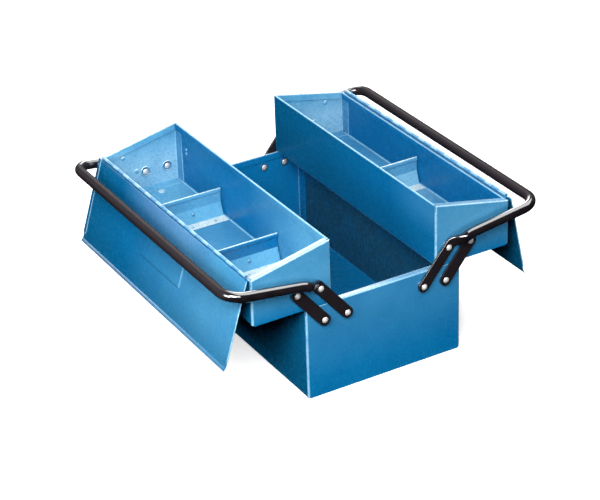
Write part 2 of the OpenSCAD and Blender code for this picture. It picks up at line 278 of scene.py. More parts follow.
def noise_of(m, size, detail=2.0, roughness=0.5):
    """Noise with features of about that size in mm, fixed to the piece."""
    coords = node(m, "TexCoord")
    tex = node(m, "TexNoise", {"Scale": 1 / (size * MM), "Detail": detail, "Roughness": roughness})
    m.node_tree.links.new(coords.outputs["Object"], tex.inputs["Vector"])
    return tex.outputs["Fac"]


def ranged(m, value, low, high, to_low, to_high):
    """value taken from low..high to to_low..to_high, and held at the ends."""
    n = node(m, "MapRange", {"From Min": low, "From Max": high, "To Min": to_low, "To Max": to_high})
    m.node_tree.links.new(value, n.inputs["Value"])
    return n.outputs["Result"]


def patchy(m, size, detail, to_low, to_high):
    """Values from to_low to to_high, in soft patches of about that size in mm."""
    return ranged(m, noise_of(m, size, detail), NOISE_LOW, NOISE_HIGH, to_low, to_high)


def mixed(m, fac, a, b):
    """Colour between a and b; each is a colour or an output."""
    n = node(m, "Mix", data_type="RGBA")
    m.node_tree.links.new(fac, n.inputs["Factor"])
    for socket, value in (("A", a), ("B", b)):
        target = [i for i in n.inputs if i.name == socket and i.type == "RGBA"][0]
        if isinstance(value, tuple):
            target.default_value = (*value, 1)
        else:
            m.node_tree.links.new(value, target)
    return [o for o in n.outputs if o.type == "RGBA"][0]


def bumped(m, shader, *layers):
    """Bump of several (height output, depth in mm) layers, one on another."""
    last = None
    for height, depth in layers:
        n = node(m, "Bump", {"Strength": 1.0, "Distance": depth * MM})
        m.node_tree.links.new(height, n.inputs["Height"])
        if last:
            m.node_tree.links.new(last, n.inputs["Normal"])
        last = n.outputs["Normal"]
    m.node_tree.links.new(last, shader.inputs["Normal"])


def part_of(m, kind, axis):
    """One axis of the piece's own coordinates ("Object", in metres) or of its own normal ("Normal")."""
    coords, parts = node(m, "TexCoord"), node(m, "SeparateXYZ")
    m.node_tree.links.new(coords.outputs[kind], parts.inputs["Vector"])
    return parts.outputs[axis]


def absolute(m, value):
    """Size of a value, whatever its sign."""
    n = node(m, "Math", operation="ABSOLUTE")
    m.node_tree.links.new(value, n.inputs[0])
    return n.outputs["Value"]


def product(m, *values):
    """Product of several values."""
    total = values[0]
    for value in values[1:]:
        n = node(m, "Math", operation="MULTIPLY")
        m.node_tree.links.new(total, n.inputs[0])
        m.node_tree.links.new(value, n.inputs[1])
        total = n.outputs["Value"]
    return total


# ---------------------------------------------------------------- ramps, from 0 at low to 1 at high

def along(low, high):
    """Ramp over the place along the box, in mm."""
    return ("Object", "X", low * MM, high * MM)


def across(low, high):
    """Ramp over the place across the box, in mm."""
    return ("Object", "Y", low * MM, high * MM)


def upward(low, high):
    """Ramp over the height, in mm."""
    return ("Object", "Z", low * MM, high * MM)


def facing(axis, low, high):
    """Ramp over one axis of the surface's own normal."""
    return ("Normal", axis, low, high)


def bend(axis, low, high):
    """Ramp that is high on a bend, where that axis and Y share the normal."""
    return ("Bend", axis, low, high)


PATCH = 30.0                        # size of a layer's soft patches, in mm
PATCH_LEAST = 0.72                  # share of a layer's strength between its patches


def mask(m, strength, *ramps):
    """Product of ramps, over soft patches."""
    parts = []
    for kind, axis, low, high in ramps:
        if kind == "Bend":
            value = absolute(m, product(m, part_of(m, "Normal", axis), part_of(m, "Normal", "Y")))
        else:
            value = part_of(m, kind, axis)
        parts.append(ranged(m, value, low, high, 0, 1))
    parts.append(ranged(m, noise_of(m, PATCH, 4), 0.25, 0.6, PATCH_LEAST * strength, strength))
    return product(m, *parts)


# ---------------------------------------------------------------- blue enamel

DEEP = (0.0006, 0.125, 0.320)       # the enamel's blue
PALE = (0.002, 0.152, 0.362)        # its paler clouds
SPECK = (0.016, 0.215, 0.465)       # its fine speckle
LIT = (0.002, 0.20, 0.47)           # painted light, a brighter blue inside the base
PAINTED_SHEEN = (0.13, 0.40, 0.60)         # painted sheen: a milky paler blue where gloss and light brighten a face
HIGHLIGHT_BLUE = (0.44, 0.72, 0.84)           # painted highlight, a pale blue on edges and bends
HIGHLIGHT_GREY = (0.72, 0.80, 0.74)         # painted highlight, a pale grey-white
HIGHLIGHT_WHITE = (0.85, 0.90, 0.90)          # painted highlight, near white
REFLECTION_LILAC = (0.20, 0.34, 0.58)          # painted reflection, a faded lilac-blue
SHADED = (0.001, 0.075, 0.16)       # darker
SHADE_TEAL = (0.013, 0.054, 0.080)        # painted shade, darker and greener
SHADE_BLACK = (0.002, 0.02, 0.04)          # painted shade, nearly black

CLOUD, SHEEN, SPECKLE, PEEL = 60.0, 9.0, 2.4, 1.8   # sizes of the enamel's features, in mm
WAVE_DEPTH, PEEL_DEPTH = 0.3, 0.02  # depths of its soft wave and its orange peel, in mm
SPECK_STRENGTH = 0.7
ROUGHNESS = (0.2, 0.34)             # its glossiest and its dullest patches


def enamel(name, *layers, gloss=1.0):
    """Glossy stove enamel on sheet steel: cloudy blue, fine speckle, orange peel and a soft wave.

    Each layer is (colour, strength, ramp, ...): a colour that its ramps lay over the blue, most often
    painted light, shade, sheen or highlight.
    """
    m, shader = material(name, Coat_Weight=0.2 * gloss, Coat_Roughness=0.12,
                         Specular_IOR_Level=0.42 * gloss)
    link = m.node_tree.links.new
    body = mixed(m, patchy(m, CLOUD, 3, 0, 1), DEEP, PALE)
    for colour, strength, *ramps in layers:
        body = mixed(m, mask(m, strength, *ramps), body, colour)
    speck = ranged(m, noise_of(m, SPECKLE, 3, 0.7), 0.5, 0.72, 0, SPECK_STRENGTH)
    link(mixed(m, speck, body, SPECK), shader.inputs["Base Color"])
    link(patchy(m, SHEEN, 3, *ROUGHNESS), shader.inputs["Roughness"])
    bumped(m, shader, (noise_of(m, CLOUD, 1), WAVE_DEPTH), (noise_of(m, PEEL, 2), PEEL_DEPTH))
    return m


# Heights that set the trays' floors and the rims apart from the walls between them
FLOOR_TOP = TRAY_Z + 4
TRAY_RIM = TRAY_Z + 50
BASE_RIM = BASE_H - 4

ON_LEFT, ON_RIGHT = across(10, -10), across(-10, 10)
UPWARDS = facing("Z", 0.25, 0.7)
FLAT = facing("Z", 0.6, 0.9)
TO_NEAR_END = facing("X", 0.6, 0.9)
TO_LEFT = facing("Y", -0.6, -0.9)
AT_FLOOR = upward(FLOOR_TOP, FLOOR_TOP - 1)
ON_FLOOR = (FLAT, AT_FLOOR)
ON_TRAY_RIM = (UPWARDS, upward(TRAY_RIM - 1, TRAY_RIM))
ON_BASE_RIM = (UPWARDS, upward(BASE_RIM, BASE_RIM + 1))
BASE_LEFT, BASE_RIGHT = across(-40, -90), across(40, 90)
INNER_WALL_RIGHT = (TO_LEFT, across(90, 80))    # the right tray's, on the side of the base
LEANING = facing("Z", 0.05, 0.3)                # a divider's lower half, and what faces further up

# Painted highlights along the rounded bends, the floors' bends and the rims
HIGHLIT_BENDS = (HIGHLIGHT_BLUE, 0.6, bend("X", 0.22, 0.46))
HIGHLIT_FLOOR_BENDS = (HIGHLIGHT_BLUE, 0.5, bend("Z", 0.2, 0.42), AT_FLOOR)
HIGHLIT_TRAY_RIM = (HIGHLIGHT_BLUE, 0.6, *ON_TRAY_RIM)
HIGHLIT_BASE_RIM = (HIGHLIGHT_BLUE, 0.6, *ON_BASE_RIM)

# Painted light and sheen on the trays' floors, strongest in the left tray
TRAY_FLOOR = (
    (PAINTED_SHEEN, 0.5, *ON_FLOOR),
    (PAINTED_SHEEN, 1.0, *ON_FLOOR, ON_LEFT),
    (HIGHLIGHT_GREY, 0.85, *ON_FLOOR, ON_LEFT, along(70, 95)),                  # painted highlight in the near compartment
    (HIGHLIGHT_BLUE, 0.3, *ON_FLOOR, ON_RIGHT, along(55, 15), along(-10, 0)),     # painted highlight in front of the divider
    (PALE, 0.6, *ON_FLOOR, ON_LEFT, along(-62, -45), along(69, 62)),    # painted light between the dividers
)
LID_EDGES = (
    (HIGHLIGHT_BLUE, 0.7, facing("X", 0.25, 0.6)),                                # painted highlight on the near edge
    (SHADED, 0.7, facing("X", -0.2, -0.6)),                             # far edge
    (SHADED, 0.9, facing("Z", 0.05, -0.25)),                            # what faces down
)

BLUE_BASE_END = enamel(
    "blue_enamel",
    (PAINTED_SHEEN, 0.25, TO_NEAR_END, upward(20, 100), along(-100, 100)),     # painted sheen on the outside of the near end, paler upwards
    (LIT, 0.7, TO_NEAR_END, along(100, -100)),                          # painted light on the inside of the far end
    HIGHLIT_BENDS, HIGHLIT_BASE_RIM)
BLUE_BASE = enamel(
    "blue_enamel_base_trough",
    # painted shade on the right wall and the floor by it
    (SHADED, 0.55, BASE_RIGHT),
    # painted light on the floor and what faces up
    (LIT, 0.7, FLAT),
    (SHADE_TEAL, 0.9, TO_LEFT, BASE_RIGHT),                                   # painted shade on the inside of the right wall
    (SHADED, 0.75, TO_LEFT, BASE_LEFT, along(-50, 120)),                # painted shade on the outside of the left wall, towards the near end
    HIGHLIT_BENDS, HIGHLIT_BASE_RIM, gloss=0.6)
BLUE_TRAY_LEFT = enamel(
    "blue_enamel_tray_left",
    (PAINTED_SHEEN, 0.8, TO_LEFT, along(0, 140), across(-120, -110)),          # painted sheen on the inside of the inner wall, towards the near end
    (SHADED, 0.4, TO_LEFT, across(-120, -130)),                         # outside of the outer wall
    *TRAY_FLOOR, HIGHLIT_BENDS, HIGHLIT_FLOOR_BENDS, HIGHLIT_TRAY_RIM, gloss=0.3)
BLUE_TRAY_RIGHT = enamel(
    "blue_enamel_tray_right",
    # painted sheen on the outside of the inner wall, by the near end's top
    (PAINTED_SHEEN, 0.25, *INNER_WALL_RIGHT, along(80, 170), upward(145, 175)),
    (SHADED, 0.6, *INNER_WALL_RIGHT, along(120, -50)),                  # towards the far end
    (SHADED, 0.45, *INNER_WALL_RIGHT, upward(180, 140)),                # towards the floor
    *TRAY_FLOOR, HIGHLIT_BENDS, HIGHLIT_FLOOR_BENDS, HIGHLIT_TRAY_RIM, gloss=0.3)
BLUE_NEAR_END = enamel(
    "blue_enamel_tray_end",
    # painted sheen on the outside of the end, paler upwards
    (PAINTED_SHEEN, 0.5, TO_NEAR_END, upward(TRAY_Z, TRAY_Z + 35)),
    *TRAY_FLOOR, HIGHLIT_BENDS, HIGHLIT_TRAY_RIM,
    (HIGHLIGHT_WHITE, 0.3, *ON_TRAY_RIM, along(175.0, 175.7)))                    # painted highlight on the outer half of the rim
BLUE_FAR_END = enamel(
    "blue_enamel_far_end",
    # painted light on the inside face
    (PAINTED_SHEEN, 0.8, TO_NEAR_END),
    (HIGHLIGHT_BLUE, 0.5, TO_NEAR_END, upward(176, 145)),                         # painted light, paler towards the floor
    # painted sheen on what faces left
    (PAINTED_SHEEN, 0.4, TO_LEFT),
    *TRAY_FLOOR, HIGHLIT_BENDS, HIGHLIT_TRAY_RIM,
    # painted highlight along the rim
    (HIGHLIGHT_WHITE, 0.5, *ON_TRAY_RIM),
    (SHADE_BLACK, 0.9, *ON_TRAY_RIM, along(-175.5, -176.0)))                   # painted shade line on the outer half of the rim
BLUE_FOLD = enamel(
    "blue_enamel_rim_fold",
    # painted highlights on the folded-in rims
    (HIGHLIGHT_GREY, 0.36, UPWARDS, ON_LEFT),
    (HIGHLIGHT_BLUE, 0.4, UPWARDS, ON_RIGHT),
    (HIGHLIGHT_WHITE, 0.4, along(169.4, 168.8)))                                  # painted highlight on the inner edge
BLUE_LID = {
    "left": enamel(
        "blue_enamel_lid_left",
        # painted sheen, paler towards the near end
        (PAINTED_SHEEN, 0.46, along(-70, 110)),
        # painted reflection in the middle, under the hinge
        (REFLECTION_LILAC, 0.45, upward(140, 165), along(-110, -30), along(120, 40)),
        (SHADED, 0.45, along(-80, -170)),                               # towards the far end
        (SHADED, 0.85, upward(105, 60)),                                # towards the lower edge
        *LID_EDGES),
    "right": enamel(
        "blue_enamel_lid_right",
        *LID_EDGES,
        (SHADED, 0.4, TO_LEFT), gloss=0.6),
}
BLUE_DIVIDER = enamel(
    "blue_enamel_divider",
    (PAINTED_SHEEN, 0.85, TO_NEAR_END, along(-20, -50)),                       # painted light on the left tray's far one
    # painted light on the right one
    (PAINTED_SHEEN, 0.85, TO_NEAR_END, ON_RIGHT),
    # painted sheen on the leaning lower half, with a painted highlight on the right one's
    (PAINTED_SHEEN, 1.0, LEANING),
    (HIGHLIGHT_BLUE, 0.3, LEANING, ON_RIGHT),
    (HIGHLIGHT_GREY, 1.0, facing("Z", 0.55, 0.95)))                             # painted highlight on the foot and top edge
BLUE_MARK = enamel(
    "blue_enamel_mark",
    # painted sheen on what faces down and a painted highlight on what faces up
    (PAINTED_SHEEN, 1.0, facing("Z", -0.9, -0.6)),
    (HIGHLIGHT_GREY, 0.9, facing("Z", 0.1, 0.6)))
# Painted highlights on what faces up: strong on the tray leaves and weld dots, weaker on the lid leaves
BLUE_HINGE = enamel("blue_enamel_hinge", (HIGHLIGHT_BLUE, 0.45, facing("Z", -0.2, 0.5)))
BLUE_LEAF = enamel("blue_enamel_lid_leaf", (PAINTED_SHEEN, 0.3, facing("Z", -0.2, 0.5)))

# ---------------------------------------------------------------- black enamel and bare steel

BLACKS = (0.006, 0.005, 0.007), (0.013, 0.010, 0.012)   # the gloss paint's two tones
GRIP_BLACK = (0.018, 0.014, 0.017)
GRIP_END = (176.0, 185.0)                       # along X in mm, where satin starts to turn and is gloss
BLACK_CLOUD, BLACK_RIPPLE, BLACK_PEEL = 14.0, 26.0, 2.4     # sizes of the paint's features, in mm
RIPPLE_DEPTH, BLACK_PEEL_DEPTH = 0.10, 0.008
DULL_PATCH, POLISH = 2.5, 1.2                   # sizes of the steel's dull patches and its polish, in mm
DULL_SHADE, GRAIN_DEPTH = 0.72, 0.015


def black_enamel(name):
    """Near-black gloss paint over a slight ripple, worn to satin where the hand holds the cross tube."""
    m, shader = material(name, Coat_Roughness=0.06, Coat_IOR=2.4)
    link = m.node_tree.links.new
    turn, gloss = GRIP_END
    grip = ranged(m, absolute(m, part_of(m, "Object", "X")), turn * MM, gloss * MM, 1, 0)
    paint = mixed(m, patchy(m, BLACK_CLOUD, 4, 0, 1), *BLACKS)
    link(mixed(m, grip, paint, GRIP_BLACK), shader.inputs["Base Color"])
    link(ranged(m, grip, 0, 1, 0.14, 0.5), shader.inputs["Roughness"])
    link(ranged(m, grip, 0, 1, 0.9, 0.0), shader.inputs["Coat Weight"])
    link(ranged(m, grip, 0, 1, 0.5, 0.07), shader.inputs["Specular IOR Level"])
    ripple, peel = noise_of(m, BLACK_RIPPLE, 1), noise_of(m, BLACK_PEEL, 2)
    bumped(m, shader, (ripple, RIPPLE_DEPTH), (peel, BLACK_PEEL_DEPTH))
    return m


def steel(name, colour, rough, grain, metallic=1.0):
    """Plated steel with a fine grain and dull patches."""
    m, shader = material(name, Metallic=metallic)
    link = m.node_tree.links.new
    dull = tuple(c * DULL_SHADE for c in colour)
    patches = ranged(m, noise_of(m, DULL_PATCH, 4), 0.35, 0.7, 0, 1)
    link(mixed(m, patches, colour, dull), shader.inputs["Base Color"])
    link(patchy(m, POLISH, 3, rough, rough + 0.2), shader.inputs["Roughness"])
    bumped(m, shader, (noise_of(m, grain, 2), GRAIN_DEPTH))
    return m


BLACK = black_enamel("black_enamel")
RIVET = steel("bright_rivet", (0.90, 0.90, 0.88), rough=0.28, grain=1.0, metallic=0.45)
WASHER = steel("plated_washer", (0.62, 0.64, 0.66), rough=0.25, grain=1.4)
PIN = steel("drawn_pin", (0.55, 0.56, 0.58), rough=0.28, grain=0.8)

# ---------------------------------------------------------------- handles

ELBOW, ELBOW_R = (86.6, 140.9), 14.0            # bend at the end of the arm, as (y, z), and its radius
KNEE, KNEE_R = (106.0, 149.6), 60.0             # soft bend where the straight leg starts
ARM_EDGE_R = 1.4                                # rounding of the arm's edges
TIP_W = 3.0                                     # least width of a section of the arm's round end
FLAT_TO, ROUND_FROM = ARM_R + 4, ARM_R + 22     # where the arm turns to tube, from the base pivot
FINE_FROM, FINE_TO = ARM_R - 6, ARM_R + 34      # stretch with about a section a millimetre
TIP_STEPS, CORNER_STEPS, CROSS_STEPS = 11, 12, 14


def bar_section(w, h, r, n=7):
    """Round-cornered section, w wide and h thick."""
    out = []
    for k, (sx, sy) in enumerate(((1, 1), (-1, 1), (-1, -1), (1, -1))):
        out += arc(sx * (w / 2 - r), sy * (h / 2 - r), r, 90 * k, 90 * k + 90, n)
    return out


def handle_path():
    """Centreline of a handle's side in the Y-Z plane, from its base pivot to the cross tube."""
    middle = (Vector(ELBOW) + Vector(KNEE)) / 2
    arm = fillet([BASE_PIVOT, ELBOW, middle], ELBOW_R, 10)
    leg = fillet([middle, KNEE, TUBE_AT], KNEE_R, 8)
    return arm[:-1] + leg[1:]


def handle_skin():
    """One sweep: the arm with its round end, the elbow, the leg as it turns to tube, and the cross tube."""
    to_end = Vector((1, 0, 0))
    rings = []

    def ring(centre, wide, out, w, h, r):
        """A section, w wide along wide and h thick along out."""
        rings.append([tuple(centre + wide * a + out * b) for a, b in bar_section(w, h, r)])

    def ring_on_side(point, way, x, w, h, r):
        """A section of the handle's side, at a point (y, z) of its path and across its way."""
        ring(Vector((x, *point)), Vector((0, -way.y, way.x)), to_end, w, h, r)

    path = handle_path()
    arm_way = (path[1] - path[0]).normalized()
    for k in range(1, TIP_STEPS + 1):
        back = ARM_W / 2 * math.cos(math.pi / 2 * k / TIP_STEPS)
        w = max(2 * math.sqrt((ARM_W / 2) ** 2 - back ** 2), TIP_W)
        ring_on_side(path[0] - arm_way * back, arm_way, ARM_MID_X, w, ARM_T, ARM_EDGE_R)

    leg_end = sum((q - p).length for p, q in zip(path, path[1:])) - CORNER_R - 1
    stops = lines((4, FINE_FROM, 3), (FINE_FROM, FINE_TO, 34), (FINE_TO, leg_end, 3))
    for s, (point, way) in zip(stops, walked(path, stops)):
        k = smooth(FLAT_TO, ROUND_FROM, s)
        ring_on_side(point, way, between(ARM_MID_X, TUBE_X, k), between(ARM_W, 2 * TUBE_R, k),
                     between(ARM_T, 2 * TUBE_R, k), between(ARM_EDGE_R, TUBE_R, k))

    leg_way = (path[-1] - path[-2]).normalized()
    leg_dir, leg_up = Vector((0, *leg_way)), Vector((0, -leg_way.y, leg_way.x))
    corner = Vector((TUBE_X - CORNER_R, *TUBE_AT)) - leg_dir * CORNER_R
    for turn in spread(0, math.pi / 2, CORNER_STEPS):
        out = to_end * math.cos(turn) + leg_dir * math.sin(turn)
        ring(corner + out * CORNER_R, leg_up, out, 2 * TUBE_R, 2 * TUBE_R, TUBE_R)

    cross = [[(x * t, y, z) for x, y, z in rings[-1]] for t in spread(1, -1, CROSS_STEPS)[1:-1]]
    far = [[(-x, y, z) for x, y, z in r] for r in rings[::-1]]
    return loft(rings + cross + far)


HANDLE = handle_skin()
for side, s in SIDES.items():
    add_piece(f"tube_handle_{side}", mirrored(HANDLE, s), f"handle_{side}", BLACK,
              [f"handle_{side}"], sharp=50)

# ---------------------------------------------------------------- lids

LIP_REACH, LIP_BEND_R = 4.2, 4.0    # reach of the lip past its bend, and the bend's radius
PLATE_X = (-43.0, 53.0)             # the left lid's raised plate, along the box
PLATE_U = (31.0, 67.0)              # and down the lid from the hinge
PLATE_RISE, PLATE_EDGE = 0.9, 1.6   # its height, and the width of its sloping edge
FINE_X, FINE_U, FINE_IN = 4, 3, 3   # reach of the fine sections outside the plate's edges, and inside them
DENT_DEPTH = 0.35                   # depth of the sheet's gentle dents
DENTS_X, DENTS_U = 0.011, 0.02      # dents in a millimetre, along the box and down the lid
DENT_SEED = {"left": 3.0, "right": 11.0}
# Distances from the hinge, the lip and the ends over which the dents set in
DENTS_BY_HINGE, DENTS_BY_LIP, DENTS_BY_END = (6, 30), (8, 22), (0, 30)
HEM_T, HEM_EDGE_R = 0.85, 0.35      # thickness of an end hem, and the rounding of its edge
HEM_LAP = 0.4                       # how far the hem's root laps onto the sheet


def within(span, t):
    """1 inside a span and 0 outside, with the plate's sloping edge between."""
    low, high = span
    return smooth(0, PLATE_EDGE, t - low) * smooth(0, PLATE_EDGE, high - t)


def dents(x, u, half_l, seed):
    """Gentle dents of the lid's sheet, which die out towards its edges."""
    off_ends = smooth(*DENTS_BY_END, half_l - abs(x))
    inner = smooth(*DENTS_BY_HINGE, u) * smooth(*DENTS_BY_LIP, LID_U - u) * off_ends
    return DENT_DEPTH * inner * noise.noise(Vector((x * DENTS_X, u * DENTS_U, seed)))


def lid_sheet_skin(side, half_l):
    """The lid's sheet with its lip, fine where the plate's edges are."""
    v = LEAF_BACK + LID_T / 2
    x0, x1 = PLATE_X
    u0, u1 = PLATE_U
    xs = lines((-half_l, x0 - FINE_X, 16), (x0 - FINE_X, x0 + FINE_IN, 9), (x0 + FINE_IN, x1 - FINE_IN, 10),
               (x1 - FINE_IN, x1 + FINE_X, 9), (x1 + FINE_X, half_l, 16))
    us = lines((KNUCKLE_CLEAR + LID_T / 2, u0 - FINE_U, 6), (u0 - FINE_U, u0 + FINE_IN, 8),
               (u0 + FINE_IN, u1 - FINE_IN, 6), (u1 - FINE_IN, u1 + FINE_U, 8), (u1 + FINE_U, LID_U - 6, 6))
    lip = (LID_U + LIP_REACH * math.cos(2 * GABLE), v + LIP_REACH * math.sin(2 * GABLE))
    path = [Vector((u, v)) for u in us] + fillet([(us[0], v), (LID_U, v), lip], LIP_BEND_R)[1:]

    def place(x, u, v):
        """A point of the sheet, with its dents and, on the left lid, its plate."""
        v += dents(x, u, half_l, DENT_SEED[side])
        if side == "left":
            v += PLATE_RISE * within(PLATE_X, x) * within(PLATE_U, u)
        return (x, u, v)

    outline = ribbon(path, LID_T)
    return loft([[place(x, u, v) for u, v in outline] for x in xs])


def lid_hem_skin(half_l, sx):
    """Hem folded inwards along one end of the lid."""
    top = LEAF_BACK + 2 * LID_T
    edge = half_l + LID_T - HEM_W
    strip = [(edge, top - HEM_T)]
    strip += arc(edge + HEM_EDGE_R, top - HEM_EDGE_R, HEM_EDGE_R, 180, 90, 4)
    strip += arc(half_l, top - LID_T, LID_T, 90, -90, 10)
    strip += [(half_l - HEM_LAP, LEAF_BACK + 0.02), (half_l - HEM_LAP, top - HEM_T)]
    return loft([[(sx * x, u, v) for x, v in strip] for u in (KNUCKLE_CLEAR + 0.1, LID_U - HEM_STOP)])


def lid_skin(side):
    """Lid laid flat, as (x, distance from the hinge, distance out of its inside face), then hung."""
    half_l = END_X - LID_INSET - LID_T
    flat = joined(lid_sheet_skin(side, half_l), lid_hem_skin(half_l, 1), lid_hem_skin(half_l, -1))
    hang = Matrix.Rotation(HANG[side] - math.pi / 2, 4, "X")
    return moved(flat, Matrix.Translation((0, HINGE_Y, HINGE_Z)) @ hang)


for side, s in SIDES.items():
    add_piece(f"lid_sheet_{side}", mirrored(lid_skin(side), s), f"lid_{side}", BLUE_LID[side],
              [f"lid_{side}"])

# ---------------------------------------------------------------- dividers

DIVIDERS = {"divider_left_near": (66, -1), "divider_left_far": (-66, -1), "divider_right": (-6, 1)}
FOLD_R, FOLD_DROP = 0.7, 4.6        # centreline radius of the folded top edge, and how far down it reaches
DIVIDER_BEND_R = 2.0


def divider_tray(s):
    """Body that a divider on side s rides on."""
    return "tray_left" if s < 0 else "tray_right"


def divider_skin(x):
    """Bent sheet with a folded top edge, a leaning lower half and a foot on the tray's floor."""
    foot_z = 1.5 * SHEET_T
    fold = [(2 * FOLD_R, DIVIDER_H - FOLD_DROP)]
    fold += arc(FOLD_R, DIVIDER_H - SHEET_T / 2 - FOLD_R, FOLD_R, 0, 180, 8)
    wall = fillet([(0, DIVIDER_H - 3), (0, DIVIDER_H / 2), (DIVIDER_LEAN, foot_z),
                   (DIVIDER_LEAN + DIVIDER_FOOT - SHEET_T / 2, foot_z)], DIVIDER_BEND_R)
    outline = ribbon(fold + wall, SHEET_T)
    y0, y1 = TRAY_IN + SHEET_T + DIVIDER_GAP, TRAY_OUT - SHEET_T - DIVIDER_GAP
    return loft([[(x + a, y, TRAY_Z + b) for a, b in outline] for y in spread(y0, y1, 8)])


for name, (x, s) in DIVIDERS.items():
    add_piece("bent_" + name, mirrored(divider_skin(x), s), divider_tray(s), BLUE_DIVIDER,
              [name])

# ---------------------------------------------------------------- folded-in rims of the near ends

RIM_FOLD = 9.0                      # width of the fold, from the end's outer face
RIM_DROP = 0.45                     # distance of its top below the rim
RIM_START = 1.6                     # distance of its root inside the end's outer face
RIM_STOP = 3.0                      # distance that it stops short of the corners


def rim_fold_skin(y0, y1, z0, z1):
    """Flat lip turned inwards from the hem of a near end, along a straight rim from (y0, z0) to (y1, z1)."""
    slope = math.atan2(z1 - z0, y1 - y0)
    up = Vector((-math.sin(slope), math.cos(slope)))
    half_t = SHEET_T / 2
    v = -RIM_DROP - half_t
    outline = ribbon([(END_X - RIM_START, v), (END_X - RIM_FOLD + half_t, v)], SHEET_T)
    rise = RIM_STOP * math.tan(slope)
    ends = ((y0 + RIM_STOP, z0 + rise), (y1 - RIM_STOP, z1 - rise))
    return loft([[(a, y + up.x * b, z + up.y * b) for a, b in outline] for y, z in ends])


for side, s in SIDES.items():
    skin = rim_fold_skin(TRAY_IN, TRAY_OUT, TRAY_Z + TRAY_INNER_H, TRAY_Z + TRAY_OUTER_H)
    add_piece(f"rim_fold_{side}", mirrored(skin, s), f"tray_{side}", BLUE_FOLD)
base_fold = rim_fold_skin(-BASE_W / 2, BASE_W / 2, BASE_H, BASE_H)
add_piece("rim_fold_base", base_fold, "base", BLUE_FOLD)

# ---------------------------------------------------------------- rings, bumps and weld marks

UP = (0, 0, 1)
SINK = -0.3                                     # how deep a mark's edge goes into its face
PIVOTS_Y = (TRAY_PIVOT[0], TRAY_PIVOT[0] + PIVOT_GAP)
END_RING, END_BUMP = (5.9, 0.9), (2.9, 1.1)     # marks as (radius, height)
WALL_MARK, WELD_DOT, LEAN_DOT = (2.0, 0.7), (1.7, 0.5), (1.9, 0.9)
BUTTON_RING, BUTTON_DOME = (3.6, 0.9), (1.6, 0.9)
END_BUMPS_AT = ((139.6, 160.2), (122.6, 139.0)) # on a far end, as (y, z)
WALL_MARKS_X, WALL_MARKS_Z = -151.0, (157.0, 162.5)
BUTTON_AT = (-156.0, 101.0)                     # on a tray's floor, as (x, y)
DOTS_Y = (84.0, 114.0, 146.0)
FOOT_DOT_X, LEAN_DOT_X = 7.0, 0.6               # from the end of a divider's lean, and from its middle
LEAN_DOT_Y, LEAN_DOT_Z = 108.0, 13.0            # on a divider's leaning half, above the tray's underside
LEAN_WAY = (0.94, 0, 0.34)                      # the way that half faces


def turned_at(profile, place, way):
    """A turned profile standing at a place, facing a way."""
    turn = Vector(UP).rotation_difference(Vector(way)).to_matrix().to_4x4()
    return moved(turned(profile), Matrix.Translation(place) @ turn)


def ring_profile(r, t):
    """Half-round bead of radius r and height t on a face."""
    angles = [math.radians(a) for a in spread(-20, 200, 10)]
    return [(r + t * math.cos(a), max(t * math.sin(a), SINK)) for a in angles]


def dome_profile(r, h):
    """Low dome of radius r and height h, from just below the face up."""
    angles = [math.radians(a) for a in spread(12, 78, 5)]
    return [(r, SINK), (r, 0)] + [(r * math.cos(a), h * math.sin(a)) for a in angles] + [(0, h)]


def far_end_marks(s):
    """Beads round the rivets and two bumps on the inside of a tray's far end, and two on its inner wall."""
    face_x, wall_y = -END_X + SHEET_T, s * (TRAY_IN + SHEET_T)
    beads = [turned_at(ring_profile(*END_RING), (face_x, s * y, TRAY_PIVOT[1]), (1, 0, 0)) for y in PIVOTS_Y]
    bumps = [turned_at(dome_profile(*END_BUMP), (face_x, s * y, z), (1, 0, 0)) for y, z in END_BUMPS_AT]
    walls = [turned_at(dome_profile(*WALL_MARK), (WALL_MARKS_X, wall_y, z), (0, s, 0)) for z in WALL_MARKS_Z]
    return joined(*beads, *bumps, *walls)


def floor_button(s):
    """Dome in a ring, on a tray's floor."""
    place = (BUTTON_AT[0], s * BUTTON_AT[1], TRAY_Z + SHEET_T)
    ring = turned_at(ring_profile(*BUTTON_RING), place, UP)
    return joined(ring, turned_at(dome_profile(*BUTTON_DOME), place, UP))


def weld_dots(x, s):
    """Spot welds on the foot of a divider at x, and one on its leaning half."""
    foot_x, foot_z = x + DIVIDER_LEAN + FOOT_DOT_X, TRAY_Z + 2 * SHEET_T
    lean_x, lean_z = x + DIVIDER_LEAN / 2 + LEAN_DOT_X, TRAY_Z + LEAN_DOT_Z
    dots = [turned_at(dome_profile(*WELD_DOT), (foot_x, s * y, foot_z), UP) for y in DOTS_Y]
    dots.append(turned_at(dome_profile(*LEAN_DOT), (lean_x, s * LEAN_DOT_Y, lean_z), LEAN_WAY))
    return joined(*dots)


for side, s in SIDES.items():
    add_piece(f"pressed_rings_{side}", far_end_marks(s), f"tray_{side}", BLUE_MARK)
    add_piece(f"floor_button_{side}", floor_button(s), f"tray_{side}", BLUE_MARK)
for name, (x, s) in DIVIDERS.items():
    piece = "weld_dots_" + name.removeprefix("divider_")
    add_piece(piece, weld_dots(x, s), divider_tray(s), BLUE_HINGE)

# ---------------------------------------------------------------- carried-over CAD nodes

